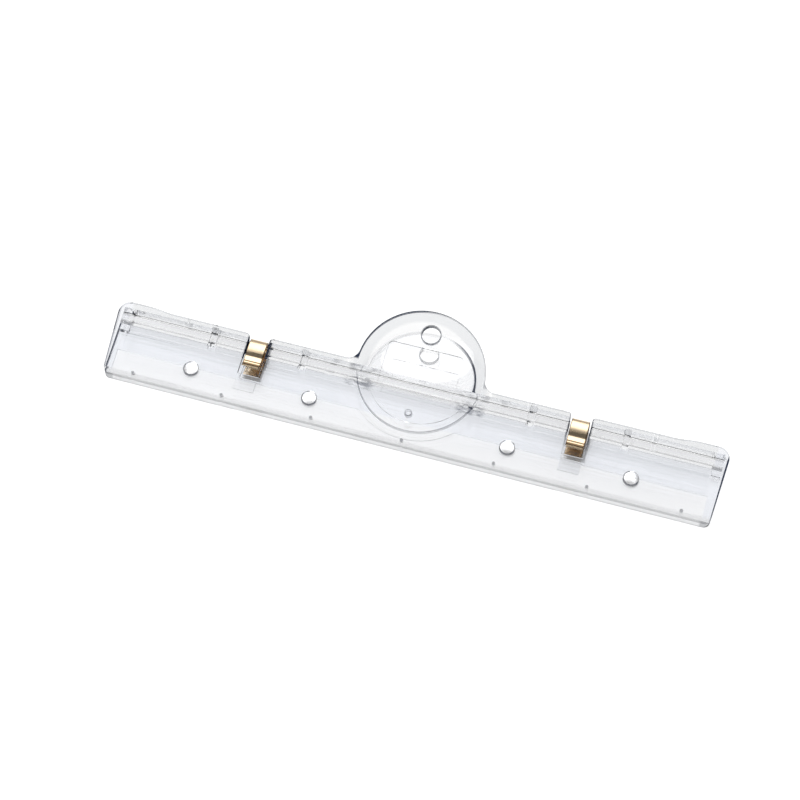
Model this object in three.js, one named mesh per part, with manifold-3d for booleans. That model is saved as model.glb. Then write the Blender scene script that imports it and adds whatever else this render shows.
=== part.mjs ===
import * as THREE from "three";
import { mergeVertices } from "three/addons/utils/BufferGeometryUtils.js";
import Module from "manifold-3d";

// A wide clear clip for menu sheets. Millimetres, +X along the strip, +Y from the jaw edge to the
// thumb discs, +Z away from the flat back. The origin is the middle of the strip's back face.

// Strip of both plates
const stripLength = 210;
const backWidth = 26;
const frontWidth = 25.4;
const backThickness = 2;
const frontThickness = 1.7;
const bottomCornerRadius = 2;
const backTopCornerRadius = 2;
const frontTopCornerRadius = 4;
const endTaper = 1.4;
const crestRise = 0.75;
const crestFlat = 6;
const crestRun = 9;

// How the closed plates stand to each other
const wedgeDegrees = 11.5;
const jawGap = 0.3;

// Thumb discs
const frontDiscRadius = 21.7;
const frontDiscCentre = 26.7;
const backDiscRadius = 18.3;
const backDiscCentre = 27.6;
const frontDiscFillet = 4;
const backDiscFillet = 2.5;
const frontRimStep = 0.5;
const backRimStep = 0.4;
const frontPadRise = 0.3;
const backPadRise = 0.3;
const hangingHoleRadius = 3.2;
const frontHoleBelowRim = 8.3;
const backHoleBelowRim = 8.8;
const backHoleFlat = 2.1;
const thumbRecessWidth = 25.8;
const thumbRecessBottom = 17.6;
const thumbRecessTop = 34.8;
const thumbRecessRadius = 1.6;
const thumbRecessDepth = 0.5;
const backRecessWidth = 24;
const backRecessBottom = 19.4;
const backRecessTop = 32.8;
const backRecessRadius = 0.8;
const backRecessDepth = 0.35;

// Raised terrace of the front plate above its clear window
const terraceRise = 0.3;
const terraceStart = 8.8;
const terraceRoundDisc = 2.5;
const terraceTongueWidth = 7;
const terraceTongueFoot = 5.3;
const terraceEndBand = 4.2;

// Jaw edges
const backJawEdge = 0.2;
const backJawBevelRun = 1.1;
const frontJawEdge = 0.5;
const frontJawBevelRun = 1.6;
const pipCount = 7;
const pipFromEdge = 2.8;
const pipFromEnd = 11.1;
const pipRadius = 0.7;
const pipHeight = 0.5;

// Fulcrum: a bead under the front plate rocks in a saddle on the back plate
const axisFromJaw = 21.4;
const axisHeight = 4.3;
const beadRadius = 1.6;
const beadClearance = 0.3;
const beadNeckRise = 0.3;
const beadNeckFoot = 3;
const saddleHeight = 1.9;
const saddleRampFoot = 18.1;
const saddleRampRun = 1.3;
const saddleBackWall = 3.1;
const railEndInset = 1.5;
const endGussetWidth = 3;
const endGussetFoot = 17;

// Webs that keep the plates from sliding along each other
const webPositions = [39.4, 71.2];
const webWidth = 2.1;
const webClearance = 0.3;
const webFoot = 3.6;

// Spring notches and pockets
const springPosition = 55.5;
const notchWidth = 7.3;
const notchFloor = 16.6;
const notchCornerRadius = 1;
const pocketStart = 11;
const pocketFloorThickness = 0.9;

// Spring clips of bent strip
const springWidth = 6;
const springThickness = 0.5;
const springClearance = 0.3;
const springTipFromJaw = 12.9;
const springBackFromJaw = 23.85;
const springCornerRadius = 1.5;
const springCrownStart = 170;
const springCrownRadius = 12.7;
const springCrownEnd = 188;
const springKneeRadius = 2;
const springSlope = 203;
const springValleyRadius = 7;
const springValleyFlat = 1.2;
const springLipRadius = 1.1;
const springLipEnd = 115;

// Disc magnets
const magnetRadius = 2.5;
const magnetThickness = 1.5;
const magnetFromJaw = 10;
const magnetFromEnd = 29.3;
const magnetSpacing = 41.6;
const magnetSideClearance = 0.15;
const magnetTopClearance = 0.1;

// Small moulded marks
const gateRadius = 1.1;
const gateHeight = 0.7;
const gateFromJaw = 11.6;
const tickPosition = 81;
const tickWidth = 0.5;
const tickLength = 2;
const tickHeight = 0.3;

// Sides of the round forms
const roundSides = 32;
const discSteps = 36;
const cornerSteps = 6;
const filletSteps = 8;
const crestSteps = 10;
const grooveSteps = 12;
const beadSteps = 14;
const pipSides = 16;
const pipSteps = 4;
const bendSteps = 7;

// Shared working values
const embed = 0.5;
const cutMargin = 1;
const mergeDistance = 1e-5;
const wedge = THREE.MathUtils.degToRad(wedgeDegrees);
const hingeFloor = backThickness + jawGap;
const frontOutside = frontThickness + terraceRise;
const frontPadTop = frontOutside + frontPadRise;
const backPadTop = backThickness + backPadRise;
const pocketDepth = backThickness - pocketFloorThickness;
const pipPitch = (stripLength - 2 * pipFromEnd) / (pipCount - 1);
const outerMagnet = stripLength / 2 - magnetFromEnd;
const magnetPositions = [outerMagnet - magnetSpacing, outerMagnet];

const wasm = await Module();
wasm.setup();

function toSolid(geometry) {
  const bare = geometry.clone();
  bare.deleteAttribute("normal");
  bare.deleteAttribute("uv");
  const merged = mergeVertices(bare, mergeDistance);
  return new wasm.Manifold(new wasm.Mesh({
    numProp: 3,
    vertProperties: new Float32Array(merged.attributes.position.array),
    triVerts: new Uint32Array(merged.index.array),
  }));
}

function toGeometry(solid) {
  const result = solid.getMesh();
  const geometry = new THREE.BufferGeometry();
  geometry.setAttribute("position", new THREE.BufferAttribute(result.vertProperties, 3));
  geometry.setIndex(new THREE.BufferAttribute(result.triVerts, 1));
  geometry.computeVertexNormals();
  return geometry;
}

function onCircle(centre, radius, angle) {
  return new THREE.Vector2(Math.cos(angle), Math.sin(angle)).multiplyScalar(radius).add(centre);
}

// Points of a round stretch, from one angle to another.
function arc(x, y, radius, start, end, steps) {
  const centre = new THREE.Vector2(x, y);
  const points = [];
  for (let i = 0; i <= steps; i += 1) {
    points.push(onCircle(centre, radius, start + (end - start) * (i / steps)));
  }
  return points;
}

function extruded(points, depth) {
  return new THREE.ExtrudeGeometry(new THREE.Shape(points), { depth, bevelEnabled: false });
}

// A flat outline in X and Y, made thick from one height to another.
function plate(points, bottom, top) {
  const geometry = extruded(points, top - bottom);
  geometry.translate(0, 0, bottom);
  return toSolid(geometry);
}

// A section in Y and Z, carried along X from one place to another.
function rail(points, start, end) {
  const geometry = extruded(points, end - start);
  const turn = new THREE.Matrix4().makeBasis(
    new THREE.Vector3(0, 1, 0),
    new THREE.Vector3(0, 0, 1),
    new THREE.Vector3(1, 0, 0),
  );
  geometry.applyMatrix4(turn);
  geometry.translate(start, 0, 0);
  return geometry;
}

function railSolid(points, start, end) {
  return toSolid(rail(points, start, end));
}

function box(x0, x1, y0, y1, z0, z1) {
  const geometry = new THREE.BoxGeometry(x1 - x0, y1 - y0, z1 - z0);
  geometry.translate((x0 + x1) / 2, (y0 + y1) / 2, (z0 + z1) / 2);
  return toSolid(geometry);
}

function upright(radius, bottom, top, x, y, sides = roundSides) {
  const geometry = new THREE.CylinderGeometry(radius, radius, top - bottom, sides);
  geometry.rotateX(Math.PI / 2);
  geometry.translate(x, y, (bottom + top) / 2);
  return toSolid(geometry);
}

function mirrored(place) {
  return [-place, place];
}

// The right half of the outline that both plates share: a long strip with rounded corners, a crest
// before each end where there is one, and a thumb disc joined to the strip by a fillet.
function halfOutline({ width, discRadius, discCentre, fillet, topRadius, rise }) {
  const half = stripLength / 2;
  const bottomCentre = half - endTaper - bottomCornerRadius;
  const top = width + rise;
  const crestStart = half - topRadius - crestFlat;
  const filletY = width + fillet;
  const filletX = Math.sqrt((discRadius + fillet) ** 2 - (filletY - discCentre) ** 2);
  const join = Math.atan2(filletY - discCentre, filletX);
  const crest = [];
  for (let i = 0; rise > 0 && i <= crestSteps; i += 1) {
    const share = i / crestSteps;
    const y = width + rise * (1 + Math.cos(Math.PI * share)) / 2;
    crest.push(new THREE.Vector2(crestStart - crestRun * share, y));
  }
  return [
    ...arc(bottomCentre, bottomCornerRadius, bottomCornerRadius, -Math.PI / 2, 0, cornerSteps),
    ...arc(half - topRadius, top - topRadius, topRadius, 0, Math.PI / 2, filletSteps),
    ...crest,
    ...arc(filletX, filletY, fillet, -Math.PI / 2, join - Math.PI, filletSteps),
    ...arc(0, discCentre, discRadius, join, Math.PI / 2, discSteps).slice(1),
  ];
}

function clipOutline(sizes) {
  const right = halfOutline(sizes);
  const left = right.slice(0, -1).reverse().map((point) => new THREE.Vector2(-point.x, point.y));
  return [...right, ...left];
}

// A notch open at the plate's top edge, whose mouth has rounded corners.
function notchOutline(x, top) {
  const half = notchWidth / 2;
  const mouth = top - notchCornerRadius;
  const wide = half + notchCornerRadius;
  const past = top + crestRise + cutMargin;
  return [
    new THREE.Vector2(x - half, notchFloor),
    new THREE.Vector2(x + half, notchFloor),
    ...arc(x + wide, mouth, notchCornerRadius, Math.PI, Math.PI / 2, cornerSteps),
    new THREE.Vector2(x + wide, past),
    new THREE.Vector2(x - wide, past),
    ...arc(x - wide, mouth, notchCornerRadius, Math.PI / 2, 0, cornerSteps),
  ];
}

// A circle whose top is cut off flat, at the given height above its centre.
function flatTopped(radius, y, flat) {
  const end = Math.asin(flat / radius);
  return arc(0, y, radius, Math.PI - end, Math.PI * 2 + end, roundSides);
}

function roundedRectangle(width, bottom, top, radius) {
  const x = width / 2 - radius;
  const quarter = Math.PI / 2;
  return [
    ...arc(x, bottom + radius, radius, -quarter, 0, cornerSteps),
    ...arc(x, top - radius, radius, 0, quarter, cornerSteps),
    ...arc(-x, top - radius, radius, quarter, quarter * 2, cornerSteps),
    ...arc(-x, bottom + radius, radius, quarter * 2, quarter * 3, cornerSteps),
  ];
}

// Where a point of the front plate's section lies in the section of the closed clip.
function frontToBack(v, w) {
  const y = v * Math.cos(wedge) - w * Math.sin(wedge);
  const z = hingeFloor + v * Math.sin(wedge) + w * Math.cos(wedge);
  return new THREE.Vector2(y, z);
}

// The rocking axis in the front plate's own section.
function axisInFront() {
  const rise = axisHeight - hingeFloor;
  const v = axisFromJaw * Math.cos(wedge) + rise * Math.sin(wedge);
  const w = rise * Math.cos(wedge) - axisFromJaw * Math.sin(wedge);
  return new THREE.Vector2(v, w);
}

// The saddle's section: a ramp on the jaw side, a round groove and a straight back wall.
function saddleSection() {
  const grooveRadius = beadRadius + beadClearance;
  const top = backThickness + saddleHeight;
  const lip = Math.asin((axisHeight - top) / grooveRadius);
  const wallEnd = axisFromJaw + saddleBackWall;
  return [
    new THREE.Vector2(saddleRampFoot, backThickness - embed),
    new THREE.Vector2(saddleRampFoot, backThickness),
    new THREE.Vector2(saddleRampFoot + saddleRampRun, top),
    ...arc(axisFromJaw, axisHeight, grooveRadius, Math.PI + lip, Math.PI * 2 - lip, grooveSteps),
    new THREE.Vector2(wallEnd, top),
    new THREE.Vector2(wallEnd, backThickness - embed),
  ];
}

// A rib under the front plate that ends in a round of the given radius on the rocking axis.
function beadSection(radius, foot) {
  const axis = axisInFront();
  const tilt = Math.asin(beadNeckRise / radius);
  return [
    new THREE.Vector2(axis.x - foot, embed),
    new THREE.Vector2(axis.x - foot, 0),
    ...arc(axis.x, axis.y, radius, Math.PI - tilt, Math.PI * 2 + tilt, beadSteps),
    new THREE.Vector2(axis.x + foot, 0),
    new THREE.Vector2(axis.x + foot, embed),
  ];
}

// Low round pips along the jaw that keep a sheet from slipping.
function pips() {
  const bulge = (pipRadius ** 2 + pipHeight ** 2) / (2 * pipHeight);
  const spread = Math.asin(pipRadius / bulge);
  const dome = arc(0, pipHeight - bulge, bulge, Math.PI / 2 - spread, Math.PI / 2, pipSteps);
  dome[pipSteps].x = 0;
  const profile = [new THREE.Vector2(0, -embed), new THREE.Vector2(pipRadius, -embed), ...dome];
  const solids = [];
  for (let i = 0; i < pipCount; i += 1) {
    const geometry = new THREE.LatheGeometry(profile, pipSides);
    geometry.rotateX(Math.PI / 2);
    geometry.translate((i - (pipCount - 1) / 2) * pipPitch, pipFromEdge, backThickness);
    solids.push(toSolid(geometry));
  }
  return solids;
}

// The wedge cut off a plate's jaw edge, down to the thickness that is left there.
function jawBevel(edge, run, thickness) {
  const slope = (thickness - edge) / run;
  const above = thickness + cutMargin * slope;
  const cutEnd = stripLength / 2 + cutMargin;
  return railSolid([
    new THREE.Vector2(-cutMargin, edge - cutMargin * slope),
    new THREE.Vector2(run + cutMargin, above),
    new THREE.Vector2(-cutMargin, above),
  ], -cutEnd, cutEnd);
}

function joined(solids) {
  return solids.reduce((sum, solid) => sum.add(solid));
}

function backPlate() {
  const railEnd = stripLength / 2 - railEndInset;
  const holeY = backDiscCentre + backDiscRadius - backHoleBelowRim;
  const saddleTop = backThickness + saddleHeight;
  let solid = joined([
    plate(clipOutline({
      width: backWidth,
      discRadius: backDiscRadius,
      discCentre: backDiscCentre,
      fillet: backDiscFillet,
      topRadius: backTopCornerRadius,
      rise: 0,
    }), 0, backThickness),
    upright(backDiscRadius - backRimStep, embed, backPadTop, 0, backDiscCentre, discSteps * 2),
    railSolid(saddleSection(), -railEnd, railEnd),
    ...pips(),
  ]);
  for (const side of [-1, 1]) {
    const inner = side * (railEnd - endGussetWidth);
    const outer = side * railEnd;
    solid = solid.add(box(Math.min(inner, outer), Math.max(inner, outer),
      endGussetFoot, saddleRampFoot + saddleRampRun, backThickness - embed, saddleTop));
  }
  for (const place of webPositions) {
    const half = webWidth / 2 + webClearance;
    for (const x of mirrored(place)) {
      solid = solid.subtract(box(x - half, x + half, saddleRampFoot - cutMargin,
        axisFromJaw + saddleBackWall + cutMargin, backThickness, saddleTop + cutMargin));
    }
  }
  for (const x of mirrored(springPosition)) {
    const half = notchWidth / 2;
    solid = solid.subtract(plate(notchOutline(x, backWidth), -cutMargin, saddleTop + cutMargin));
    solid = solid.subtract(box(x - half, x + half, pocketStart, notchFloor + cutMargin,
      -cutMargin, pocketDepth));
  }
  for (const place of magnetPositions) {
    for (const x of mirrored(place)) {
      solid = solid.subtract(upright(magnetRadius + magnetSideClearance, -cutMargin,
        magnetThickness + magnetTopClearance, x, magnetFromJaw));
    }
  }
  solid = solid.subtract(plate(
    roundedRectangle(backRecessWidth, backRecessBottom, backRecessTop, backRecessRadius),
    -cutMargin, backRecessDepth));
  solid = solid.subtract(jawBevel(backJawEdge, backJawBevelRun, backThickness));
  return solid.subtract(plate(flatTopped(hangingHoleRadius, holeY, backHoleFlat),
    -cutMargin, backPadTop + cutMargin));
}

// The part of the front plate that the terrace covers.
function terraceRegion(top) {
  const half = stripLength / 2 + cutMargin;
  const far = frontDiscCentre + frontDiscRadius + cutMargin;
  const tongueHalf = terraceTongueWidth / 2;
  const bandStart = stripLength / 2 - terraceEndBand;
  const solids = [
    box(-half, half, terraceStart, far, 0, top),
    box(-half, -bandStart, -cutMargin, far, 0, top),
    box(bandStart, half, -cutMargin, far, 0, top),
    upright(frontDiscRadius + terraceRoundDisc, 0, top, 0, frontDiscCentre, discSteps * 2),
  ];
  for (const x of mirrored(springPosition)) {
    solids.push(box(x - tongueHalf, x + tongueHalf, terraceTongueFoot, far, 0, top));
  }
  return joined(solids);
}

function frontPlate() {
  const outline = clipOutline({
    width: frontWidth,
    discRadius: frontDiscRadius,
    discCentre: frontDiscCentre,
    fillet: frontDiscFillet,
    topRadius: frontTopCornerRadius,
    rise: crestRise,
  });
  const railEnd = stripLength / 2 - railEndInset;
  const axis = axisInFront();
  const webRadius = axisHeight - backThickness - webClearance;
  const holeY = frontDiscCentre + frontDiscRadius - frontHoleBelowRim;
  const deepest = axis.y - webRadius - cutMargin;
  let solid = joined([
    plate(outline, 0, frontThickness),
    plate(outline, 0, frontOutside).intersect(terraceRegion(frontOutside + cutMargin)),
    upright(frontDiscRadius - frontRimStep, embed, frontPadTop, 0, frontDiscCentre, discSteps * 2),
    railSolid(beadSection(beadRadius, beadNeckFoot), -railEnd, railEnd),
    upright(gateRadius, embed, frontPadTop + gateHeight, 0, gateFromJaw),
  ]);
  for (const place of webPositions) {
    for (const x of mirrored(place)) {
      solid = solid.add(railSolid(beadSection(webRadius, webFoot), x - webWidth / 2, x + webWidth / 2));
    }
  }
  for (const x of mirrored(tickPosition)) {
    solid = solid.add(box(x - tickWidth / 2, x + tickWidth / 2, frontWidth - tickLength, frontWidth,
      -tickHeight, embed));
  }
  for (const x of mirrored(springPosition)) {
    const half = notchWidth / 2;
    solid = solid.subtract(plate(notchOutline(x, frontWidth), deepest, frontOutside + cutMargin));
    solid = solid.subtract(box(x - half, x + half, pocketStart, notchFloor + cutMargin,
      pocketFloorThickness, frontOutside + cutMargin));
  }
  solid = solid.subtract(plate(
    roundedRectangle(thumbRecessWidth, thumbRecessBottom, thumbRecessTop, thumbRecessRadius),
    frontPadTop - thumbRecessDepth, frontPadTop + cutMargin));
  solid = solid.subtract(jawBevel(frontJawEdge, frontJawBevelRun, frontOutside));
  return solid.subtract(upright(hangingHoleRadius, deepest, frontPadTop + cutMargin, 0, holeY));
}

// Adds a bend to a line, from one heading to another in degrees.
function bend(line, radius, from, to, steps) {
  const side = Math.sign(to - from) * radius;
  const first = THREE.MathUtils.degToRad(from);
  const turn = THREE.MathUtils.degToRad(to) - first;
  const start = line[line.length - 1];
  const centre = new THREE.Vector2(start.x - side * Math.sin(first), start.y + side * Math.cos(first));
  for (let i = 1; i <= steps; i += 1) {
    const heading = first + turn * (i / steps);
    line.push(new THREE.Vector2(centre.x + side * Math.sin(heading), centre.y - side * Math.cos(heading)));
  }
}

// The middle line of the spring strip: back leg, straight back, crown, knee, valley and curled
// lip. The valley clears the notch floor's edge on the outside of the front plate.
function springLine() {
  const half = springThickness / 2;
  const legHeight = pocketDepth - springClearance - half;
  const lower = [
    new THREE.Vector2(springTipFromJaw, legHeight),
    new THREE.Vector2(springBackFromJaw - springCornerRadius, legHeight),
  ];
  bend(lower, springCornerRadius, 0, 90, bendSteps);
  const upper = [new THREE.Vector2(springBackFromJaw, 0)];
  bend(upper, springCornerRadius, 90, springCrownStart, bendSteps);
  bend(upper, springCrownRadius, springCrownStart, springCrownEnd, bendSteps);
  bend(upper, springKneeRadius, springCrownEnd, springSlope, bendSteps);
  bend(upper, springValleyRadius, springSlope, 180, bendSteps);
  const valley = upper[upper.length - 1].clone();
  upper.push(new THREE.Vector2(valley.x - springValleyFlat, valley.y));
  bend(upper, springLipRadius, 180, springLipEnd, bendSteps);
  const edge = frontToBack(notchFloor, pocketFloorThickness + springClearance + half);
  const rise = edge.y - valley.y;
  return [...lower, ...upper.map((point) => new THREE.Vector2(point.x, point.y + rise))];
}

// A strip of even thickness along a middle line.
function ribbonSection(line, thickness) {
  const left = [];
  const right = [];
  line.forEach((point, i) => {
    const before = line[Math.max(i - 1, 0)];
    const after = line[Math.min(i + 1, line.length - 1)];
    const along = after.clone().sub(before).normalize();
    const side = new THREE.Vector2(-along.y, along.x).multiplyScalar(thickness / 2);
    left.push(point.clone().add(side));
    right.unshift(point.clone().sub(side));
  });
  return [...left, ...right];
}

const clearPlastic = { color: 0xe9ebf0, roughness: 0.06, metalness: 0, transparent: true, opacity: 0.35 };
const springSteel = { color: 0xc9a35a, roughness: 0.22, metalness: 1 };
const nickel = { color: 0xd6d6d4, roughness: 0.18, metalness: 1 };

function named(name, geometry, finish) {
  const mesh = new THREE.Mesh(geometry, new THREE.MeshStandardMaterial(finish));
  mesh.name = name;
  return mesh;
}

function spring(name, x) {
  const section = ribbonSection(springLine(), springThickness);
  const geometry = rail(section, x - springWidth / 2, x + springWidth / 2);
  return named(name, geometry, springSteel);
}

function magnet(name, x) {
  const geometry = new THREE.CylinderGeometry(magnetRadius, magnetRadius, magnetThickness, roundSides);
  geometry.rotateX(Math.PI / 2);
  geometry.translate(x, magnetFromJaw, magnetThickness / 2);
  return named(name, geometry, nickel);
}

const clip = new THREE.Group();
const fromJaw = new THREE.Group();
fromJaw.position.y = -backWidth / 2;
clip.add(fromJaw);

fromJaw.add(named("back_plate", toGeometry(backPlate()), clearPlastic));
fromJaw.add(spring("left_spring", -springPosition));
fromJaw.add(spring("right_spring", springPosition));
const magnetPlaces = [...magnetPositions.map((place) => -place).reverse(), ...magnetPositions];
magnetPlaces.forEach((x, i) => fromJaw.add(magnet(`magnet_${i + 1}`, x)));

const tilted = new THREE.Group();
tilted.position.z = hingeFloor;
tilted.rotation.x = wedge;
tilted.add(named("front_plate", toGeometry(frontPlate()), clearPlastic));
fromJaw.add(tilted);

export default clip;
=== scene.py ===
"""Looks of a wide clear menu clip: two moulded plates, two bent springs and four disc magnets."""

import math
from types import SimpleNamespace

import bmesh
import bpy
from mathutils import Matrix, Vector


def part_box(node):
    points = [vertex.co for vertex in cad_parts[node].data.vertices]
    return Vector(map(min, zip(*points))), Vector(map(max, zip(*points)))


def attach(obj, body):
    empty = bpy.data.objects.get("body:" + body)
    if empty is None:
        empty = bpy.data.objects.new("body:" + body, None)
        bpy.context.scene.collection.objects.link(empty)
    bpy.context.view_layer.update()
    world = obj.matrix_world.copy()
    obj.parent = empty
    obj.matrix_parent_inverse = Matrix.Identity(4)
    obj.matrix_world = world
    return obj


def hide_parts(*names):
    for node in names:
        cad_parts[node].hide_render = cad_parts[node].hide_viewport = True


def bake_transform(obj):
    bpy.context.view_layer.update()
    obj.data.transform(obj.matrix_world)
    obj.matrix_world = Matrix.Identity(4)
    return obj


bl_info = {
    "name": "Menu Clip Looks",
    "version": (1, 0, 0),
    "blender": (4, 5, 0),
    "location": "View3D > Sidebar > Menu Clip",
    "description": "Dresses a sprung menu clip in clear plastic, bent strip and plated magnets",
    "category": "Object",
}

MM = 0.001


def mm(*values):
    """Lengths in millimetres, as metres."""
    return tuple(value * MM for value in values)


# Sizes of the clip. A circle is its centre's distance from the jaw edge, then its radius.
WEDGE_DEGREES = 11.5
HINGE_FLOOR = 2.3 * MM
HALF_BACK_WIDTH = 13.0 * MM
HALF_LENGTH = 105.0 * MM
END_TAPER = 1.4 / 25.4
FRONT_DISC = mm(26.7, 21.7)
BACK_DISC = mm(27.6, 18.3)
FRONT_HOLE = mm(40.1, 3.2)
BACK_HOLE = mm(37.1, 3.2)
GATE_MARK = mm(11.6, 1.1)
RIM_STEP = 0.5 * MM
SPRING_PLACE = 55.5 * MM
NOTCH_HALF_WIDTH = 3.65 * MM
MAGNET_PLACES = mm(34.1, 75.7)
MAGNET_POCKET = mm(10.0, 2.6)

# Making of the pieces
WELD = 0.002 * MM
FLAT_ANGLE = math.radians(0.5)
PLATE_CORNER = math.radians(25)
SPRING_CORNER = math.radians(40)
SPRING_EDGE = 0.1 * MM
MAGNET_WELD = 0.001 * MM
MAGNET_SIDES = 64
QUARTER_STEPS = 4

# Each pair from here to the painted shade lines is a fade: a look goes from none at the first
# value
# to full at the second. Places across the strip, to the right of its middle:
RIGHT_HALF = mm(-1.0, 1.0)
FRONT_RIM_SHADE = mm(6.0, -12.0)
BACK_RIM_SHADE = mm(4.0, 14.0)

# Distances from the middle of the strip, to either side:
PAST_DISC = mm(21.0, 25.0)
NEAR_END = mm(99.5, 100.5)
AT_END = mm(100.0, 101.0)
END_BAND = mm(100.6, 101.0)
LIP_SIDE = mm(24.0, 27.0)
ANNULUS_SIDE = mm(24.0, 22.0)
NOTCH_SIDE = mm(30.0, 31.0)
# Where the dark flecks of painted shade lie, across the strip:
SHADE_FLECK_INNER = mm(13.0, 16.0)
SHADE_FLECK_OUTER = mm(25.0, 22.0)

# Distances from the jaw edge, along the plate:
JAW_END = mm(1.6, 2.4)
TONGUE_FOOT = mm(5.1, 5.5)
PIPS_END = mm(6.0, 5.0)
TERRACE_START = mm(8.7, 8.9)
TERRACE_END = mm(17.0, 20.0)
POCKET_JAW_SIDE = mm(10.0, 9.0)
TONGUE_TOP = mm(12.0, 11.0)
NOTCH_START = mm(16.0, 17.0)
# Where the dark flecks of painted shade lie, along the plate:
SHADE_FLECK_START = mm(16.0, 17.0)
SHADE_FLECK_END = mm(21.0, 19.5)
ANNULUS_START = mm(21.0, 23.0)
PAD_RING_END = mm(23.0, 20.0)
LIP_START = mm(22.6, 22.9)
RIM_START = mm(26.0, 27.0)
BACK_HOLE_TOP = mm(39.2, 38.9)

# Heights over the table, distances from the middle of a spring, a notch's side or a magnet,
# and the place of the springs' valley across the plate:
PIPS_TOP = mm(2.2, 2.3)
POCKET_FOOT = mm(0.5, 0.7)
POCKET_TOP = mm(1.9, 1.8)
TONGUE_SIDE = mm(3.7, 3.3)
NOTCH_LINE = mm(0.45, 0.2)
OFF_MAGNET = mm(3.0, 6.0)
SPRING_SIDE = mm(2.7, 2.9)
SPRING_TOP = mm(3.2, 4.0)
SPRING_VALLEY = mm(2.5, 4.4)

# How squarely a surface faces one way, and how strong a noise is:
NOTCH_FACING = (0.6, 0.9)
END_FACING = (0.5, 0.9)
MAGNET_SIDE = (0.9, 0.5)
MAGNET_JAW_SIDE = (0.1, -0.3)
STEEP = (0.35, 0.95)
STREAKS = (0.45, 0.6)

# Painted shade lines: widths, then strengths
EDGE_LINE = 0.4 * MM
BACK_RIM_LINE = 0.7 * MM
EDGE_LINE_FADE = 0.2 * MM
HOLE_LINE = 0.35 * MM
GATE_LINE = 0.3 * MM
PAD_LINE = 0.25 * MM
POCKET_LINE = 0.3 * MM
DARK_NOTCH = 0.8
DARK_END_NOTCH = 0.5
DARK_NOTCH_LINE = 0.35
DARK_FRONT_HOLE = 0.6
DARK_BACK_HOLE = 0.5
DARK_GATE = 0.35
DARK_PAD = 0.4
DARK_SHADE_FLECKS = 0.4
DARK_PIPS = 0.65
DARK_RIM_EVERYWHERE = 0.25
DARK_LEFT_END = 0.3
LEFT_TONGUE_SHADE = 0.3

# Noises: scale, stretch along each axis and detail
EVEN = (1.0, 1.0, 1.0)
FLOW_NOISE = (55.0, (0.25, 1.0, 1.0), 1.0)
GRAIN_NOISE = (1800.0, EVEN, 2.0)
SWAY_NOISE = (30.0, (0.6, 0.0, 0.0), 2.0)
STREAK_NOISE = (900.0, (0.02, 1.0, 1.0), 1.0)
SHADE_FLECK_NOISE = (900.0, (0.3, 1.0, 1.0), 2.0)
LINE_NOISE = (900.0, (6.0, 0.35, 0.35), 3.0)
PATINA_NOISE = (260.0, EVEN, 2.0)
CLOUD_NOISE = (700.0, EVEN, 4.0)

# Roughness: the least, and what the noise adds
PLATE_ROUGHNESS = (0.004, 0.008)
SPRING_ROUGHNESS = (0.12, 0.1)
MAGNET_ROUGHNESS = (0.09, 0.05)
WALL_ROUGHNESS = 0.3

# Relief of the moulding, and lines of the springs
RIPPLES = mm(10.0, 11.4, 13.0, 14.3, 15.4)
RIPPLE_RUN = 0.25 * MM
RIPPLE_SWAY = 0.8 * MM
FLOW_RELIEF = 0.3
PLATE_RELIEF = 0.05 * MM
STREAK_SHARE = 0.8
ANNULUS_WIDTH = 4.2 * MM
ANNULUS_FADE = 0.6 * MM
SPRING_CREASES = ((2.2 * MM, 0.16 * MM), (1.0 * MM, 0.4 * MM))
SPRING_RELIEF = 1.0 * MM
LINE_RELIEF = 0.004
VALLEY_RELIEF = 0.3
# Strengths of the shade painted on the springs' edges and creases
EDGE_SHADE = 0.85
CREASE_SHADE = 0.9
MAGNET_RELIEF = 0.002 * MM

# Colours, and shares of a colour that stay where it is deeper or duller, or where shade is painted
WHITE = (1.0, 1.0, 1.0, 1.0)
GREY_SHADE_SHARES = (1.08, 1.0, 0.9)
BLUE_SHADE_SHARES = (0.5, 0.4, 0.15)
# Tints of painted shade in stripes on the terrace and in a patch under each spring
STREAK_SHADE_TINT = (0.89, 0.91, 0.94, 1.0)
TONGUE_SHADE_TINT = (0.89, 0.9, 0.92, 1.0)
# Colour of the dark sheet that paints shade on the plates
PAINTED_SHADE_COLOUR = (0.03, 0.04, 0.07, 1.0)
JAW_TINT = (0.9, 0.9, 0.9, 1.0)
LAMP_TINT = (0.967, 0.969, 0.973, 1.0)
STRIP_SHADE_COLOUR = (0.09, 0.05, 0.02, 1.0)
MAGNET_SHADE_COLOUR = (0.04, 0.03, 0.03, 1.0)
FLOOR_COLOUR = (0.9, 0.9, 0.9, 1.0)
DEEP_PATINA = 0.8
DULL_NICKEL = 0.92

# Stage
SENSOR_WIDTH = 36.0
CAMERA_NEAR = 10 * MM
OVERHEAD = (-0.1668, 0.1823, 1.2892)
LAMP_WIDTH = 0.094
OVAL_CARD_SIZE = (0.103, 0.055)
OVAL_CARD_DISTANCE = 1.1
BACK_CARD_PLACE = (-0.18, 0.7, 1.2)
BACK_CARD_SIZE = (0.8, 0.8)
BACK_CARD_DIM_DEGREES = (59, 76)
BACK_CARD_DIM = 0.9
ROUND_SIDES = 64
FLOOR_RADIUS = 5.0
FLOOR_DROP = 0.02 * MM
FLOOR_SEEN = 0.2
FLOOR_MIRRORED = 0.04
SKY_GAIN = 0.2
SKY_GAIN_HEIGHTS = (0.1, 0.7)
SKY_DIM = 0.75
SKY_DIM_HEIGHTS = (0.85, 0.96)
GLOW = 0.1
GLOW_DEGREES = (14, 5)
WHITE_THROUGH_GLASS = 0.5
LIGHT_BOUNCES = 32

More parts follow.
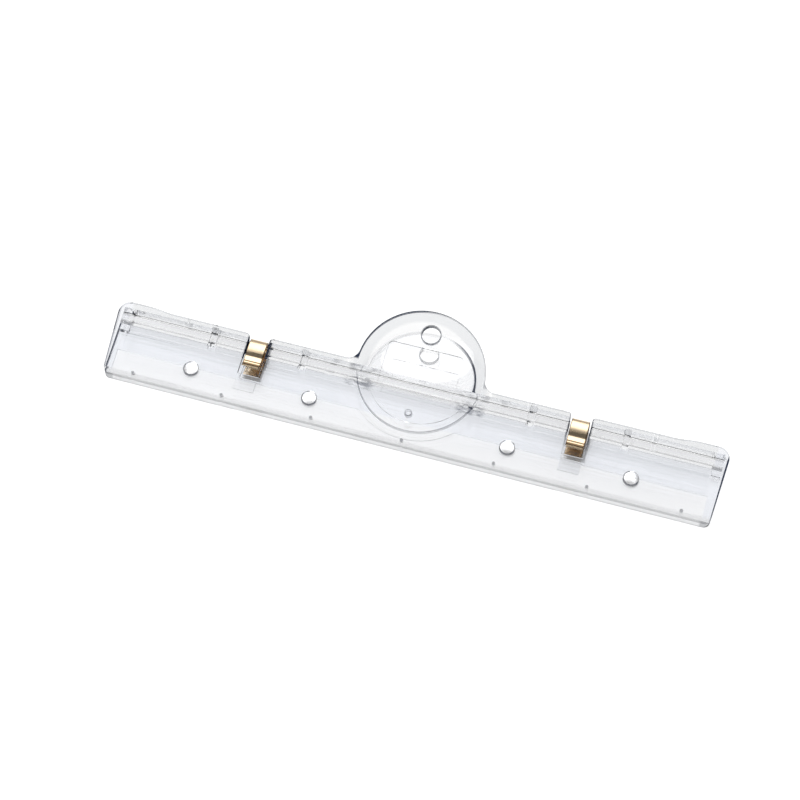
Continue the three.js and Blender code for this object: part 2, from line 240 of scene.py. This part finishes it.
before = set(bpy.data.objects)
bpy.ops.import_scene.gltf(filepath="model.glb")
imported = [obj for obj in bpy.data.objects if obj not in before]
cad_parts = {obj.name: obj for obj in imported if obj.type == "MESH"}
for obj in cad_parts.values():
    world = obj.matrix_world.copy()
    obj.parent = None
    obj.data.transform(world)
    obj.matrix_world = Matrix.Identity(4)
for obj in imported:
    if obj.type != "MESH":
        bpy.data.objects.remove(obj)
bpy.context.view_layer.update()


# Settings


class ClipPlasticSettings(bpy.types.PropertyGroup):
    """Finish of the clear moulded plates, and the shade painted on them."""

    tint: bpy.props.FloatVectorProperty(
        name="Tint",
        description="Colour that the clear plastic gives to light passing through it",
        subtype="COLOR",
        size=3,
        min=0.0,
        max=1.0,
        default=(0.983, 0.987, 0.995),
    )
    refraction: bpy.props.FloatProperty(
        name="Refraction",
        description="Index of refraction of the moulded plastic",
        default=1.5,
        min=1.0,
        max=2.0,
    )
    edge_round: bpy.props.FloatProperty(
        name="Edge Round",
        description="Radius of the moulded edges",
        subtype="DISTANCE",
        unit="LENGTH",
        default=0.16 * MM,
    )
    # Strength of the shade painted on the plates' walls, rims and marks
    wall_shade_depth: bpy.props.FloatProperty(
        name="Wall Depth",
        description="How much darker the end walls and the round rims look than the flats",
        subtype="FACTOR",
        default=0.85,
        min=0.0,
        max=1.0,
    )
    # Depth of the shade painted into the front plate's tint on its lip, terrace and ends and round
    # its disc
    tint_shade_depth: bpy.props.FloatProperty(
        name="Lip Depth",
        description="How much darker the free top edge of the front plate looks",
        subtype="FACTOR",
        default=0.12,
        min=0.0,
        max=1.0,
    )
    jaw_clearness: bpy.props.FloatProperty(
        name="Jaw Clearness",
        description="Share of the front plate's thin jaw edge that lets light straight through",
        subtype="FACTOR",
        default=0.9,
        min=0.0,
        max=1.0,
    )
    edge_shadow: bpy.props.FloatProperty(
        name="Edge Shadow",
        description="Share of the lamps' light that steep walls keep from what is behind them",
        subtype="FACTOR",
        default=0.25,
        min=0.0,
        max=1.0,
    )


class ClipMetalSettings(bpy.types.PropertyGroup):
    """Finish and sizes of the springs and magnets."""

    spring_colour: bpy.props.FloatVectorProperty(
        name="Spring Colour",
        description="Gold-coloured plating of the spring strip",
        subtype="COLOR",
        size=3,
        min=0.0,
        max=1.0,
        default=(0.93, 0.74, 0.51),
    )
    magnet_colour: bpy.props.FloatVectorProperty(
        name="Magnet Colour",
        description="Nickel plating of the disc magnets",
        subtype="COLOR",
        size=3,
        min=0.0,
        max=1.0,
        default=(0.96, 0.94, 0.91),
    )
    magnet_edge: bpy.props.FloatProperty(
        name="Magnet Edge",
        description="Radius of the rounded edge of a disc magnet",
        subtype="DISTANCE",
        unit="LENGTH",
        default=0.3 * MM,
    )


class ClipStageSettings(bpy.types.PropertyGroup):
    """Camera and lights."""

    azimuth: bpy.props.FloatProperty(
        name="Azimuth",
        description="Turn of the camera round the clip, from the side of its jaw",
        subtype="ANGLE",
        default=math.radians(15.996),
    )
    elevation: bpy.props.FloatProperty(
        name="Elevation",
        description="Height of the camera above the table, as an angle",
        subtype="ANGLE",
        default=math.radians(60.015),
    )
    distance: bpy.props.FloatProperty(
        name="Distance",
        description="Distance from the camera to the point it looks at",
        subtype="DISTANCE",
        unit="LENGTH",
        default=628.7 * MM,
    )
    target: bpy.props.FloatVectorProperty(
        name="Target",
        description="Point on the table that the camera looks at",
        subtype="XYZ",
        unit="LENGTH",
        size=3,
        default=(-5.05 * MM, 5.69 * MM, 0.0),
    )
    lens: bpy.props.FloatProperty(
        name="Lens",
        description="Focal length in millimetres on a sensor 36 mm wide",
        default=84.5,
    )
    sky: bpy.props.FloatProperty(
        name="Sky",
        description="Strength of the even light from all sides",
        default=0.55,
    )
    card: bpy.props.FloatProperty(
        name="Card",
        description="Strength of the oval card that the thumb disc mirrors",
        default=2.2,
    )
    back_card: bpy.props.FloatProperty(
        name="Back Card",
        description="Strength of the wide card that the back plate, springs and magnets mirror",
        default=2.2,
    )
    lamp: bpy.props.FloatProperty(
        name="Lamp",
        description="Strength of the overhead softbox, in watts",
        default=9.8,
    )


# Shader maths


class Value:
    """A shader socket that takes part in Python expressions."""

    def __init__(self, tree, socket):
        self.tree = tree
        self.socket = socket

    def maths(self, operation, *others):
        node = self.tree.nodes.new("ShaderNodeMath")
        node.operation = operation
        for slot, other in zip(node.inputs, (self, *others), strict=False):
            feed(self.tree, slot, other)
        return Value(self.tree, node.outputs[0])

    def __add__(self, other):
        return self.maths("ADD", other)

    __radd__ = __add__

    def __mul__(self, other):
        return self.maths("MULTIPLY", other)

    __rmul__ = __mul__

    def __sub__(self, other):
        return self.maths("SUBTRACT", other)

    def __rsub__(self, other):
        return (self * -1.0) + other

    def __pow__(self, other):
        return self.maths("POWER", other)

    def smooth(self, low, high):
        """0 below low, 1 above high and a smooth step between them."""
        return Shader.of(self.tree).node(
            "ShaderNodeMapRange",
            {"interpolation_type": "SMOOTHSTEP"},
            {"Value": self, "From Min": low, "From Max": high},
        )

    def clamped(self):
        return self.maths("MAXIMUM", 0.0).maths("MINIMUM", 1.0)


def feed(tree, socket, value):
    """Sets a socket to a plain value, or links it to another socket."""
    if isinstance(value, Value):
        tree.links.new(value.socket, socket)
    else:
        socket.default_value = value


class Shader:
    """A material or world and the nodes made for it."""

    def __init__(self, owner):
        owner.use_nodes = True
        self.tree = owner.node_tree
        self.tree.nodes.clear()

    @classmethod
    def of(cls, tree):
        shader = cls.__new__(cls)
        shader.tree = tree
        return shader

    def node(self, kind, settings=None, inputs=None, output=0):
        """A node with its settings, then its inputs, as the output asked for."""
        node = self.tree.nodes.new(kind)
        for name, value in (settings or {}).items():
            setattr(node, name, value)
        for name, value in (inputs or {}).items():
            feed(self.tree, node.inputs[name], value)
        return None if output is None else Value(self.tree, node.outputs[output])

    def coordinates(self, kind):
        return self.node("ShaderNodeTexCoord", output=kind)

    def split(self, vector, axes="XYZ"):
        """The parts of a vector along the axes asked for."""
        return [
            self.node("ShaderNodeSeparateXYZ", inputs={"Vector": vector}, output=axis)
            for axis in axes
        ]

    def ray(self, kind):
        """1 for light rays of one kind, such as those of the camera."""
        return self.node("ShaderNodeLightPath", output=f"Is {kind} Ray")

    def noise(self, scale, stretch, detail):
        inputs = {"Vector": self.coordinates("Object"), "Scale": stretch}
        place = self.node("ShaderNodeMapping", inputs=inputs)
        inputs = {"Vector": place, "Scale": scale, "Detail": detail}
        return self.node("ShaderNodeTexNoise", inputs=inputs)

    def mixed(self, share, first, second):
        """A colour between two others."""
        inputs = {"Factor": share, "A": first, "B": second}
        return self.node("ShaderNodeMix", {"data_type": "RGBA"}, inputs, output="Result")

    def bump(self, height, distance):
        return self.node("ShaderNodeBump", inputs={"Height": height, "Distance": distance})

    def mix_shader(self, share, first, second):
        return self.node("ShaderNodeMixShader", inputs={0: share, 1: first, 2: second})

    def surface(self, shader, kind="ShaderNodeOutputMaterial"):
        self.node(kind, inputs={"Surface": shader}, output=None)


def rgba(colour):
    return (*colour, 1.0)


def varied(roughness, noise):
    """A roughness that a noise raises from its least value."""
    least, added = roughness
    return least + added * noise


def lowered(depth, shares):
    """White with each channel brought down by its share of a depth."""
    return rgba(1.0 - depth * share for share in shares)


def reach(x, along, centre):
    """Distance from a point of the middle line."""
    return (x * x + (along - centre) ** 2.0) ** 0.5


def near_circle(x, along, circle, width):
    """1 on a circle round a point of the middle line and 0 beyond a width from it."""
    centre, radius = circle
    off_circle = (reach(x, along, centre) - radius).maths("ABSOLUTE")
    return 1.0 - off_circle.smooth(0.5 * width, width)


def point_on_plate(shader, body):
    """Where a shaded point lies on a plate, and how squarely its surface faces X and Y."""
    x, y, z = shader.split(shader.coordinates("Object"))
    side = x.maths("ABSOLUTE")
    facing = shader.split(shader.coordinates("Normal"), "XY")
    along = y + HALF_BACK_WIDTH
    if body == "front":
        slant = math.radians(WEDGE_DEGREES)
        along = along * math.cos(slant) + (z - HINGE_FLOOR) * math.sin(slant)
    return SimpleNamespace(
        x=x,
        z=z,
        side=side,
        along=along,
        facing_x=facing[0].maths("ABSOLUTE"),
        facing_y=facing[1].maths("ABSOLUTE"),
        off_spring=(side - SPRING_PLACE).maths("ABSOLUTE"),
        right_half=x.smooth(*RIGHT_HALF),
        at_end=side.smooth(*AT_END),
        beside_disc=side.smooth(*PAST_DISC) * (1.0 - side.smooth(*NEAR_END)),
    )


def terrace_ripples(shader, at):
    """Low steps along the terrace of the front plate, which leave the magnets clear."""
    sway = RIPPLE_SWAY * shader.noise(*SWAY_NOISE)
    ripples = sum((at.along + sway).smooth(start, start + RIPPLE_RUN) for start in RIPPLES)
    for place in MAGNET_PLACES:
        ripples = ripples * (at.side - place).maths("ABSOLUTE").smooth(*OFF_MAGNET)
    return ripples * at.beside_disc


def front_tint_and_shade(shader, at, tint, depth):
    """Tint of the front plate with painted shade: greyer on its lip and round its disc, bluer on
    its terrace and ends, and darker in stripes on the terrace and in a patch under each spring.
    """
    grey_shade, blue_shade = lowered(depth, GREY_SHADE_SHARES), lowered(depth, BLUE_SHADE_SHARES)
    lip = at.along.smooth(*LIP_START) * at.side.smooth(*LIP_SIDE)
    terrace = at.along.smooth(*TERRACE_START) * (1.0 - at.along.smooth(*TERRACE_END))
    # Painted shade in stripes across the terrace.
    shade_streaks = shader.noise(*STREAK_NOISE).smooth(*STREAKS)
    # Painted shade in a patch under each spring, weaker on the left.
    tongue_shade = at.off_spring.smooth(*TONGUE_SIDE) * at.along.smooth(*TONGUE_FOOT)
    tongue_shade = tongue_shade * at.along.smooth(*TONGUE_TOP)
    tongue_shade = tongue_shade * (LEFT_TONGUE_SHADE + (1.0 - LEFT_TONGUE_SHADE) * at.right_half)
    centre, radius = FRONT_DISC
    inside_rim = reach(at.x, at.along, centre) - radius + ANNULUS_WIDTH
    annulus = inside_rim.smooth(0.0, ANNULUS_FADE) * at.along.smooth(*ANNULUS_START)
    # Painted shade: each share below darkens the tint where the plate looks darker.
    for share, colour in (
        (lip, grey_shade),
        (terrace, blue_shade),
        (at.side.smooth(*END_BAND), blue_shade),
        (STREAK_SHARE * shade_streaks * terrace * at.beside_disc, STREAK_SHADE_TINT),
        (tongue_shade, TONGUE_SHADE_TINT),
        (annulus * at.side.smooth(*ANNULUS_SIDE), grey_shade),
    ):
        tint = shader.mixed(share, tint, colour)
    return tint


def painted_edge_shade(at, disc, line, rim_shade, end_shade):
    """Share of painted shade along the rim of a disc, the ends of a plate and beside its notches.
    """
    centre, radius = disc
    rim = (reach(at.x, at.along, centre) - radius + line).smooth(0.0, EDGE_LINE_FADE)
    end_place = HALF_LENGTH + END_TAPER * (at.along - 2.0 * HALF_BACK_WIDTH)
    end = (at.side - end_place + EDGE_LINE).smooth(0.0, EDGE_LINE_FADE)
    beside_notch = (at.off_spring - NOTCH_HALF_WIDTH).maths("ABSOLUTE").smooth(*NOTCH_LINE)
    # The rim's painted shade is stronger on one side of its disc.
    rim = rim * at.along.smooth(*RIM_START) * rim_shade
    return rim + end * end_shade + DARK_NOTCH_LINE * beside_notch * at.along.smooth(*NOTCH_START)


def front_painted_shade(shader, at):
    """Share of painted shade on the front plate: rim, ends, notch walls, hole, gate mark, pad ring
    and flecks.
    """
    notch = at.facing_x.smooth(*NOTCH_FACING) * at.side.smooth(*NOTCH_SIDE) * (1.0 - at.at_end)
    centre, radius = FRONT_DISC
    pad = near_circle(at.x, at.along, (centre, radius - RIM_STEP), PAD_LINE)
    # Painted shade: dark flecks near the lower rim of the disc on either side.
    shade_flecks = shader.noise(*SHADE_FLECK_NOISE).smooth(*STREAKS)
    shade_flecks = shade_flecks * at.side.smooth(*SHADE_FLECK_INNER) * at.side.smooth(*SHADE_FLECK_OUTER)
    shade_flecks = shade_flecks * at.along.smooth(*SHADE_FLECK_START) * at.along.smooth(*SHADE_FLECK_END)
    # Painted shade: dark rings round the hole, gate mark and pad, dark flecks, and dark notch
    # walls.
    marks = (
        DARK_FRONT_HOLE * near_circle(at.x, at.along, FRONT_HOLE, HOLE_LINE)
        + DARK_GATE * near_circle(at.x, at.along, GATE_MARK, GATE_LINE)
        + DARK_PAD * pad * at.along.smooth(*PAD_RING_END)
        + DARK_SHADE_FLECKS * shade_flecks
        + DARK_NOTCH * notch
    )
    rim_shade = at.x.smooth(*FRONT_RIM_SHADE) + DARK_RIM_EVERYWHERE
    # Painted shade on the front plate's left end is weaker than on its right.
    end_shade = DARK_LEFT_END + (1.0 - DARK_LEFT_END) * at.right_half
    return painted_edge_shade(at, FRONT_DISC, EDGE_LINE, rim_shade, end_shade) + marks


def back_painted_shade(at):
    """Share of painted shade on the back plate: rim, ends, end notches, hole, pips and magnet
    pockets.
    """
    end_notch = DARK_END_NOTCH * DARK_NOTCH * at.facing_y.smooth(*END_FACING) * at.at_end
    pips = at.z.smooth(*PIPS_TOP) * at.along.smooth(*PIPS_END)
    hole = near_circle(at.x, at.along, BACK_HOLE, HOLE_LINE) * at.along.smooth(*BACK_HOLE_TOP)
    inner, outer = ((at.side - place).maths("ABSOLUTE") for place in MAGNET_PLACES)
    pocket = near_circle(inner.maths("MINIMUM", outer), at.along, MAGNET_POCKET, POCKET_LINE)
    pocket = pocket * at.along.smooth(*POCKET_JAW_SIDE)
    pocket = pocket * at.z.smooth(*POCKET_FOOT) * at.z.smooth(*POCKET_TOP)
    # Painted shade: dark end notches, dark rings round the hole and the magnet pockets, and dark
    # pip tops.
    marks = end_notch + DARK_BACK_HOLE * hole + DARK_PIPS * pips + pocket
    return painted_edge_shade(at, BACK_DISC, BACK_RIM_LINE, at.x.smooth(*BACK_RIM_SHADE), 1.0) + marks


def clear_plastic(settings, body):
    """Water-clear moulded plastic with faint flow marks and painted shade, whose steep walls throw
    thin shadows.
    """
    material = bpy.data.materials.new(f"clear_plastic_{body}")
    shader = Shader(material)
    at = point_on_plate(shader, body)
    flow = shader.noise(*FLOW_NOISE)
    grain = shader.noise(*GRAIN_NOISE)
    relief = flow * FLOW_RELIEF
    tint = shader.mixed(flow, rgba(settings.tint), WHITE)
    if body == "front":
        relief = relief + terrace_ripples(shader, at)
        tint = front_tint_and_shade(shader, at, tint, settings.tint_shade_depth)
        painted_shade = front_painted_shade(shader, at)
    else:
        painted_shade = back_painted_shade(at)
    clear_body = shader.node(
        "ShaderNodeBsdfPrincipled",
        inputs={
            "Base Color": tint,
            "Roughness": varied(PLATE_ROUGHNESS, grain),
            "IOR": settings.refraction,
            "Transmission Weight": 1.0,
            "Normal": shader.bump(relief, PLATE_RELIEF),
        },
    )
    painted_shade_sheet = shader.node(
        "ShaderNodeBsdfPrincipled",
        inputs={
            "Base Color": PAINTED_SHADE_COLOUR,
            "Roughness": WALL_ROUGHNESS,
            "Specular IOR Level": 0.0,
        },
    )
    # Painted shade: a dark sheet is mixed in on walls, rims, rings and marks, where the clear
    # plastic only looks dark.
    seen = shader.mix_shader((painted_shade * settings.wall_shade_depth).clamped(), clear_body, painted_shade_sheet)
    if body == "front":
        through = shader.node("ShaderNodeBsdfTransparent", inputs={"Color": JAW_TINT})
        jaw = 1.0 - at.along.smooth(*JAW_END)
        seen = shader.mix_shader(jaw * settings.jaw_clearness, seen, through)
    # Rays of the lamps pass straight through, and steep walls keep a share of them.
    facing = shader.node("ShaderNodeLayerWeight", inputs={"Blend": 0.5}, output="Facing")
    kept = 1.0 - settings.edge_shadow
    clear, dim = (
        shader.node("ShaderNodeBsdfTransparent", inputs={"Color": colour})
        for colour in (LAMP_TINT, (kept, kept, kept, 1.0))
    )
    for_lamps = shader.mix_shader(facing.smooth(*STEEP), clear, dim)
    from_lamps = (shader.ray("Shadow") + shader.ray("Diffuse")).clamped()
    shader.surface(shader.mix_shader(from_lamps, seen, for_lamps))
    return material


def metal(shader, colour, roughness, normal):
    """Gives a material the look of bare or plated metal."""
    inputs = {"Base Color": colour, "Metallic": 1.0, "Roughness": roughness, "Normal": normal}
    shader.surface(shader.node("ShaderNodeBsdfPrincipled", inputs=inputs))


def spring_strip(settings):
    """Bright gold-coloured strip with rolling lines, and painted shade along its sheared edges and
    in two creases.
    """
    material = bpy.data.materials.new("spring_strip")
    shader = Shader(material)
    lines = shader.noise(*LINE_NOISE)
    patina = shader.noise(*PATINA_NOISE)
    x, y, z = shader.split(shader.coordinates("Object"))
    off_middle = (x.maths("ABSOLUTE") - SPRING_PLACE).maths("ABSOLUTE")
    on_top = z.smooth(*SPRING_TOP)
    creases = sum(
        (y - place).maths("ABSOLUTE").smooth(2.0 * width, width)
        for place, width in SPRING_CREASES
    )
    # Painted shade along the strip's sides and in two creases on its top.
    strip_shade = EDGE_SHADE * off_middle.smooth(*SPRING_SIDE) + CREASE_SHADE * on_top * creases
    deep = tuple(channel * DEEP_PATINA for channel in settings.spring_colour)
    colour = shader.mixed(patina, rgba(settings.spring_colour), rgba(deep))
    valley = on_top * y.smooth(*SPRING_VALLEY)
    metal(
        shader,
        colour=shader.mixed(strip_shade.clamped(), colour, STRIP_SHADE_COLOUR),
        roughness=varied(SPRING_ROUGHNESS, lines),
        normal=shader.bump(LINE_RELIEF * lines - VALLEY_RELIEF * valley, SPRING_RELIEF),
    )
    return material


def magnet_nickel(settings):
    """Bright nickel plating, a little duller in places, with painted shade on its side towards the
    jaw.
    """
    material = bpy.data.materials.new("magnet_nickel")
    shader = Shader(material)
    cloud = shader.noise(*CLOUD_NOISE)
    towards_jaw, level = shader.split(shader.coordinates("Normal"), "YZ")
    # Painted shade on the round side of the magnet that faces the jaw.
    side = level.maths("ABSOLUTE").smooth(*MAGNET_SIDE) * towards_jaw.smooth(*MAGNET_JAW_SIDE)
    dull = tuple(channel * DULL_NICKEL for channel in settings.magnet_colour)
    plating = shader.mixed(cloud, rgba(settings.magnet_colour), rgba(dull))
    metal(
        shader,
        colour=shader.mixed(side, plating, MAGNET_SHADE_COLOUR),
        roughness=varied(MAGNET_ROUGHNESS, cloud),
        normal=shader.bump(cloud, MAGNET_RELIEF),
    )
    return material


# Pieces


def new_object(name, mesh, material):
    piece = bpy.data.objects.new(name, mesh)
    bpy.context.scene.collection.objects.link(piece)
    mesh.materials.clear()
    mesh.materials.append(material)
    return piece


def applied(piece):
    """Replaces a piece's mesh with the one that its modifiers make."""
    graph = bpy.context.evaluated_depsgraph_get()
    mesh = bpy.data.meshes.new_from_object(piece.evaluated_get(graph))
    piece.modifiers.clear()
    piece.data = mesh
    return piece


def with_flats(piece):
    """Applies a piece's modifiers and lets its flat faces, not their rounds, set the shading."""
    piece.data.shade_smooth()
    flats = piece.modifiers.new("flats", "WEIGHTED_NORMAL")
    flats.weight = 100
    return applied(piece)


def copy_of_solid(node):
    """A solid's mesh with its doubled points joined and its flat faces whole."""
    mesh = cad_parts[node].data.copy()
    shape = bmesh.new()
    shape.from_mesh(mesh)
    bmesh.ops.remove_doubles(shape, verts=shape.verts, dist=WELD)
    bmesh.ops.dissolve_limit(
        shape, angle_limit=FLAT_ANGLE, verts=shape.verts, edges=shape.edges
    )
    shape.to_mesh(mesh)
    shape.free()
    return mesh


def rounded(piece, radius, corner, miter="MITER_SHARP"):
    """Rounds the edges of a piece that are sharper than a corner."""
    bevel = piece.modifiers.new("rounds", "BEVEL")
    bevel.width = radius
    bevel.segments = 2
    bevel.limit_method = "ANGLE"
    bevel.angle_limit = corner
    bevel.miter_outer = miter
    return with_flats(piece)


def moulded_plate(name, node, body, material, radius):
    """A plate with the form of its solid and the small rounds of a moulding on its edges."""
    piece = new_object(name, copy_of_solid(node), material)
    rounded(piece, radius, PLATE_CORNER, miter="MITER_ARC")
    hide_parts(node)
    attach(piece, body)


def disc_magnet(name, node, material, edge):
    """A turned disc with rounded edges, in the place of its solid."""
    low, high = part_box(node)
    centre = (low + high) / 2
    radius = (high.x - low.x) / 2
    half = (high.z - low.z) / 2
    profile = [(0.0, -half)]
    for start, z in ((-90, edge - half), (0, half - edge)):
        for i in range(QUARTER_STEPS + 1):
            angle = math.radians(start + 90 / QUARTER_STEPS * i)
            profile.append((radius - edge + edge * math.cos(angle), z + edge * math.sin(angle)))
    profile.append((0.0, half))
    shape = bmesh.new()
    points = [shape.verts.new((r, 0.0, z)) for r, z in profile]
    edges = [shape.edges.new(pair) for pair in zip(points, points[1:], strict=False)]
    bmesh.ops.spin(
        shape,
        geom=points + edges,
        axis=(0, 0, 1),
        cent=(0, 0, 0),
        angle=math.tau,
        steps=MAGNET_SIDES,
        use_merge=True,
    )
    bmesh.ops.remove_doubles(shape, verts=shape.verts, dist=MAGNET_WELD)
    bmesh.ops.recalc_face_normals(shape, faces=shape.faces)
    bmesh.ops.translate(shape, verts=shape.verts, vec=centre)
    mesh = bpy.data.meshes.new(name)
    shape.to_mesh(mesh)
    shape.free()
    piece = with_flats(new_object(name, mesh, material))
    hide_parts(node)
    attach(piece, "back")


def bent_spring(name, node, material):
    """The bent strip with its sheared edges rounded."""
    piece = new_object(name, copy_of_solid(node), material)
    rounded(piece, SPRING_EDGE, SPRING_CORNER)
    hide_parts(node)
    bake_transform(piece)


class CLIP_OT_plates(bpy.types.Operator):
    """Make the two clear moulded plates"""

    bl_idname = "clip.plates"
    bl_label = "Clear Plates"

    def execute(self, context):
        settings = context.scene.clip_plastic
        for body in ("back", "front"):
            material = clear_plastic(settings, body)
            moulded_plate(f"{body}_moulding", f"{body}_plate", body, material, settings.edge_round)
        return {"FINISHED"}


class CLIP_OT_springs(bpy.types.Operator):
    """Make the two bent spring clips"""

    bl_idname = "clip.springs"
    bl_label = "Spring Clips"

    def execute(self, context):
        material = spring_strip(context.scene.clip_metal)
        for side in ("left", "right"):
            bent_spring(f"{side}_spring_strip", f"{side}_spring", material)
        return {"FINISHED"}


class CLIP_OT_magnets(bpy.types.Operator):
    """Make the four plated disc magnets"""

    bl_idname = "clip.magnets"
    bl_label = "Disc Magnets"

    def execute(self, context):
        settings = context.scene.clip_metal
        material = magnet_nickel(settings)
        for node in sorted(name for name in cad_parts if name.startswith("magnet")):
            disc_magnet(f"{node}_disc", node, material, settings.magnet_edge)
        return {"FINISHED"}


def place_camera(settings):
    target = Vector(settings.target)
    level = math.cos(settings.elevation)
    away = Vector(
        (
            math.sin(settings.azimuth) * level,
            -math.cos(settings.azimuth) * level,
            math.sin(settings.elevation),
        )
    )
    data = bpy.data.cameras.new("camera")
    data.lens = settings.lens
    data.sensor_width = SENSOR_WIDTH
    data.clip_start = CAMERA_NEAR
    camera = bpy.data.objects.new("camera", data)
    camera.location = target + settings.distance * away
    camera.rotation_euler = (-away).to_track_quat("-Z", "Y").to_euler()
    bpy.context.scene.collection.objects.link(camera)
    bpy.context.scene.camera = camera


def white_floor():
    """A matt white table top that shows as pure white where no shadow falls."""
    material = bpy.data.materials.new("white_floor")
    shader = Shader(material)
    matt = shader.node("ShaderNodeBsdfDiffuse", inputs={"Color": FLOOR_COLOUR})
    mirrored = (shader.ray("Glossy") + shader.ray("Transmission")).clamped()
    seen = FLOOR_SEEN * shader.ray("Camera") + FLOOR_MIRRORED * mirrored
    lift = shader.node("ShaderNodeEmission", inputs={"Strength": seen})
    shader.surface(shader.node("ShaderNodeAddShader", inputs={0: matt, 1: lift}))
    shape = bmesh.new()
    bmesh.ops.create_circle(shape, cap_ends=True, radius=FLOOR_RADIUS, segments=ROUND_SIDES)
    bmesh.ops.translate(shape, verts=shape.verts, vec=(0, 0, -FLOOR_DROP))
    mesh = bpy.data.meshes.new("table_top")
    shape.to_mesh(mesh)
    shape.free()
    new_object("table_top", mesh, material)


def sky(strength, overhead):
    """Even light, dimmer overhead but for a glow round the lamp, and white to the camera."""
    world = bpy.data.worlds.new("studio")
    bpy.context.scene.world = world
    shader = Shader(world)
    direction = shader.coordinates("Generated")
    height = shader.split(direction, "Z")[0]
    level = strength * (1.0 + SKY_GAIN * height.smooth(*SKY_GAIN_HEIGHTS))
    level = level * (1.0 - SKY_DIM * height.smooth(*SKY_DIM_HEIGHTS))
    towards = shader.node(
        "ShaderNodeVectorMath",
        {"operation": "DOT_PRODUCT"},
        {0: direction, 1: tuple(overhead.normalized())},
        output="Value",
    )
    outer, inner = (math.cos(math.radians(angle)) for angle in GLOW_DEGREES)
    glow = GLOW * towards.smooth(outer, inner)
    white = (shader.ray("Camera") + WHITE_THROUGH_GLASS * shader.ray("Transmission")).clamped()
    seen = level + glow + white * (1.0 - level)
    background = shader.node("ShaderNodeBackground", inputs={"Strength": seen})
    shader.surface(background, "ShaderNodeOutputWorld")
    world.cycles.sampling_method = "NONE"


def softbox(name, place, size, watts):
    """A round lamp that faces the clip and isn't mirrored in it."""
    data = bpy.data.lights.new(name, "AREA")
    data.shape = "DISK"
    data.size = size
    data.energy = watts
    lamp = bpy.data.objects.new(name, data)
    lamp.location = place
    lamp.rotation_euler = (-Vector(place)).to_track_quat("-Z", "Y").to_euler()
    lamp.visible_glossy = False
    lamp.visible_transmission = False
    bpy.context.scene.collection.objects.link(lamp)


def reflected_card(name, place, size, strength, across, square=False):
    """A glowing card that faces the clip: an even oval, or a square that dims towards its top."""
    material = bpy.data.materials.new(f"{name}_glow")
    shader = Shader(material)
    shape = bmesh.new()
    if square:
        towards = shader.node(
            "ShaderNodeVectorMath",
            {"operation": "NORMALIZE"},
            {0: shader.coordinates("Object")},
            output="Vector",
        )
        low, high = (math.sin(math.radians(angle)) for angle in BACK_CARD_DIM_DEGREES)
        height = shader.split(towards, "Z")[0]
        strength = strength * (1.0 - BACK_CARD_DIM * height.smooth(low, high))
        bmesh.ops.create_circle(shape, cap_ends=True, radius=0.5, segments=4)
        bmesh.ops.rotate(shape, verts=shape.verts, matrix=Matrix.Rotation(math.pi / 4, 3, "Z"))
        bmesh.ops.scale(shape, verts=shape.verts, vec=(math.sqrt(2), math.sqrt(2), 1))
    else:
        bmesh.ops.create_circle(shape, cap_ends=True, radius=0.5, segments=ROUND_SIDES)
    shader.surface(shader.node("ShaderNodeEmission", inputs={"Strength": strength}))
    facing = -Vector(place).normalized()
    side = (across - facing * across.dot(facing)).normalized()
    width, depth = size
    turned = Matrix((side * width, facing.cross(side) * depth, facing)).transposed()
    shape.transform(Matrix.Translation(place) @ turned.to_4x4())
    mesh = bpy.data.meshes.new(name)
    shape.to_mesh(mesh)
    shape.free()
    new_object(name, mesh, material)


class CLIP_OT_stage(bpy.types.Operator):
    """Make the camera, the table top and the lights"""

    bl_idname = "clip.stage"
    bl_label = "Stage"

    def execute(self, context):
        settings = context.scene.clip_stage
        context.scene.view_settings.view_transform = "Standard"
        place_camera(settings)
        white_floor()
        overhead = Vector(OVERHEAD)
        sky(settings.sky, overhead)
        softbox("key_lamp", overhead, LAMP_WIDTH, settings.lamp)
        across = Vector((math.cos(settings.azimuth), math.sin(settings.azimuth), 0.0))
        oval = overhead * OVAL_CARD_DISTANCE
        reflected_card("oval_card", oval, OVAL_CARD_SIZE, settings.card, across)
        back = Vector(BACK_CARD_PLACE)
        reflected_card("back_card", back, BACK_CARD_SIZE, settings.back_card, across, square=True)
        context.scene.cycles.max_bounces = LIGHT_BOUNCES
        context.scene.cycles.transmission_bounces = LIGHT_BOUNCES
        return {"FINISHED"}


class CLIP_PT_panel(bpy.types.Panel):
    """Lists the operators that dress the clip"""

    bl_idname = "CLIP_PT_panel"
    bl_label = "Menu Clip"
    bl_space_type = "VIEW_3D"
    bl_region_type = "UI"
    bl_category = "Menu Clip"

    def draw(self, context):
        for group in ("clip_plastic", "clip_metal", "clip_stage"):
            settings = getattr(context.scene, group)
            for name in settings.__annotations__:
                self.layout.prop(settings, name)
        for operator in OPERATORS:
            self.layout.operator(operator.bl_idname)


OPERATORS = (CLIP_OT_stage, CLIP_OT_plates, CLIP_OT_springs, CLIP_OT_magnets)
SETTINGS = {
    "clip_plastic": ClipPlasticSettings,
    "clip_metal": ClipMetalSettings,
    "clip_stage": ClipStageSettings,
}


def register():
    for group, settings in SETTINGS.items():
        bpy.utils.register_class(settings)
        setattr(bpy.types.Scene, group, bpy.props.PointerProperty(type=settings))
    for cls in (*OPERATORS, CLIP_PT_panel):
        bpy.utils.register_class(cls)


def unregister():
    for cls in (CLIP_PT_panel, *reversed(OPERATORS)):
        bpy.utils.unregister_class(cls)
    for group, settings in SETTINGS.items():
        delattr(bpy.types.Scene, group)
        bpy.utils.unregister_class(settings)


def main():
    register()
    bpy.ops.clip.stage()
    bpy.ops.clip.plates()
    bpy.ops.clip.springs()
    bpy.ops.clip.magnets()


if __name__ == "__main__":
    main()
